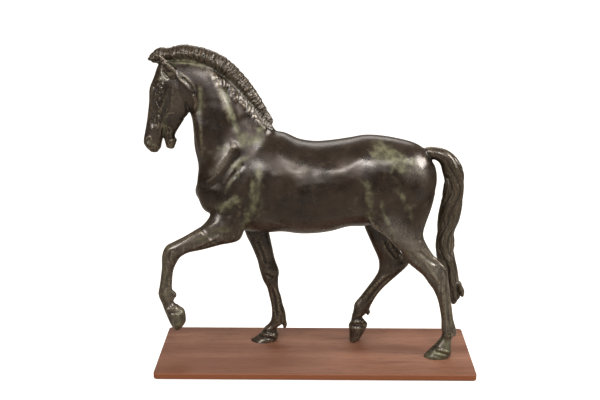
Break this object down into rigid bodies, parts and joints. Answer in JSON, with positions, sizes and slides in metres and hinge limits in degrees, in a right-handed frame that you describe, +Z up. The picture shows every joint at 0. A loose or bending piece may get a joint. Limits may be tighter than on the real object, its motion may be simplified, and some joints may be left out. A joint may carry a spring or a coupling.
{
  "type": "animal statuette",
  "caption": "Walking horse statuette in dark patinated bronze, with one foreleg raised, standing on a thin rectangular mahogany plate.",
  "frame": {"origin": "under the middle of the bounding box, on the surface the statuette stands on", "axes": "+Z up, the horse walks towards -X, its near (left) side faces -Y"},
  "size_m": [0.3984, 0.144, 0.3905],
  "materials": {
    "bronze": "dark brown patina with green verdigris in the hollows, waxed to a soft shine",
    "bronze_pin": "plain turned bronze rod",
    "mahogany": "stained mahogany, satin varnish",
    "zinced_steel": "zinc-plated steel",
    "bumper_rubber": "matt black"
  },
  "bodies": {
    "root": {"wood_base": "mahogany", "barrel_casting": "bronze", "neck_and_head_casting": "bronze", "near_foreleg_casting": "bronze", "off_foreleg_casting": "bronze", "near_hindleg_casting": "bronze", "off_hindleg_casting": "bronze", "tail_casting": "bronze", "neck_pin_near": "bronze_pin", "neck_pin_off": "bronze_pin", "near_foreleg_pin": "bronze_pin", "off_foreleg_pin": "bronze_pin", "near_hindleg_pin": "bronze_pin", "off_hindleg_pin": "bronze_pin", "tail_pin": "bronze_pin", "belly_core_plug": "bronze_pin", "off_fore_stud": "zinced_steel", "off_fore_washer": "zinced_steel", "off_fore_nut": "zinced_steel", "near_hind_stud": "zinced_steel", "near_hind_washer": "zinced_steel", "near_hind_nut": "zinced_steel", "off_hind_stud": "zinced_steel", "off_hind_washer": "zinced_steel", "off_hind_nut": "zinced_steel", "bumper_front_left": "bumper_rubber", "bumper_front_right": "bumper_rubber", "bumper_back_left": "bumper_rubber", "bumper_back_right": "bumper_rubber"}
  },
  "joints": []
}
